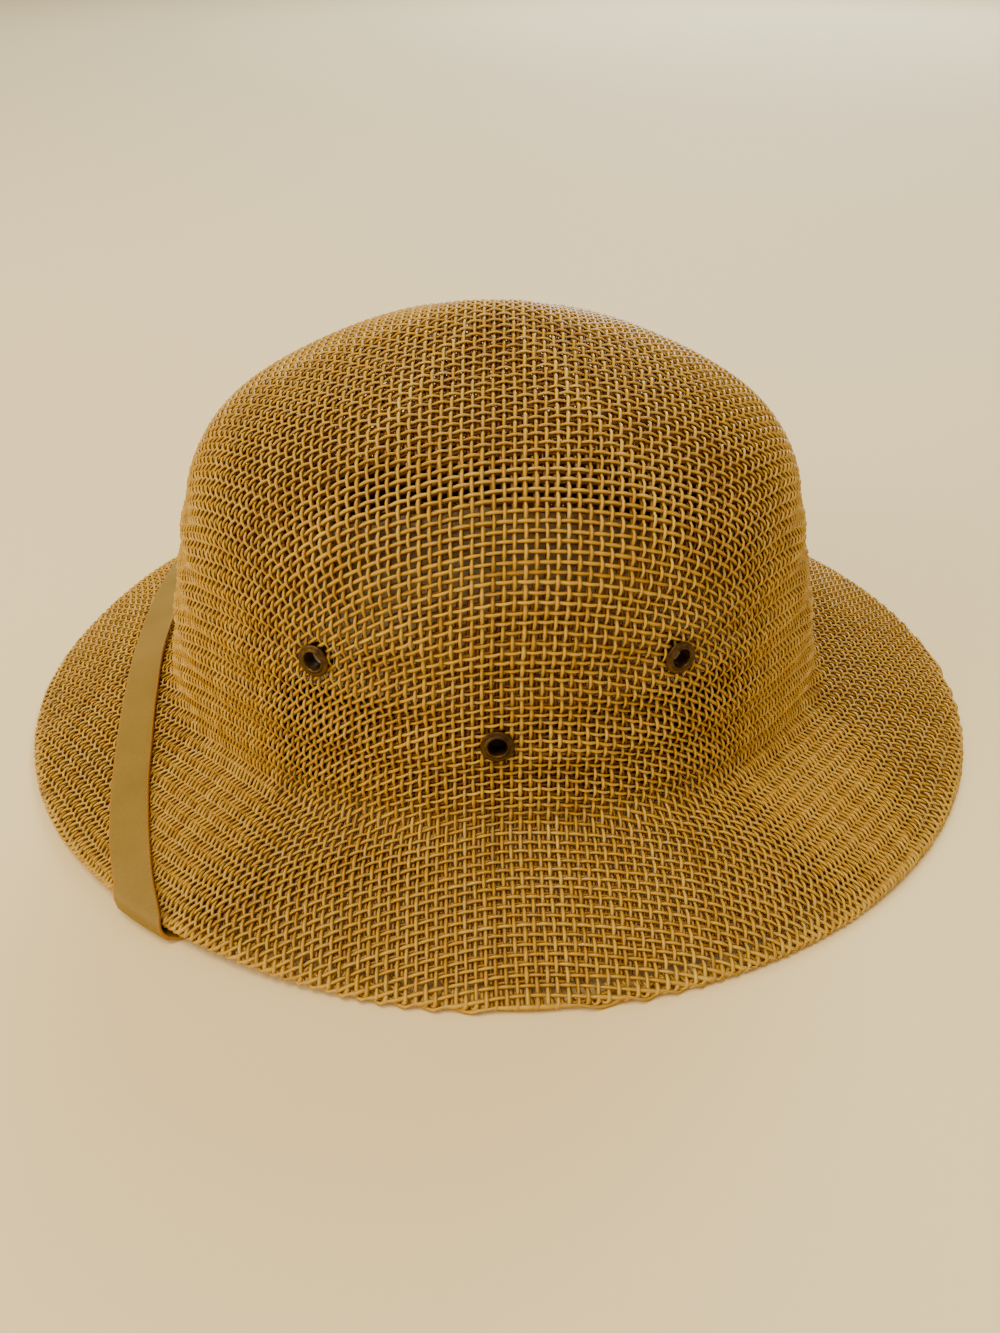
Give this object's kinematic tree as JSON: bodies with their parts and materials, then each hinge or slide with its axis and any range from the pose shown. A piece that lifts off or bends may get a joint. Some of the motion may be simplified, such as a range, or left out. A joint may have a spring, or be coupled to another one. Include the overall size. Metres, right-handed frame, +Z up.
{
  "type": "woven straw sun helmet",
  "caption": "Sun helmet of open-woven straw with a ridged domed crown, a wide sloping oval brim, vent eyelets, an inner sweatband and a chin strap laid over the front brim.",
  "frame": {"origin": "centre of the brim's outline, on the surface that the hat stands on", "axes": "+X toward the back of the hat along its length, +Y to its far side, +Z up out of the crown"},
  "size_m": [0.334, 0.2872, 0.1378],
  "materials": {
    "straw": "open plain weave of lacquered straw, satin",
    "bronze": "dark bronzed, satin",
    "sweatband": "dark brown, matt",
    "strap": "tan, fine grain, satin"
  },
  "bodies": {
    "root": {"straw_body": "straw", "eyelet_near_front": "bronze", "eyelet_near_rear": "bronze", "eyelet_near_low": "bronze", "eyelet_far_front": "bronze", "eyelet_far_rear": "bronze", "eyelet_far_low": "bronze", "sweatband": "sweatband", "chin_strap": "strap"}
  },
  "joints": []
}
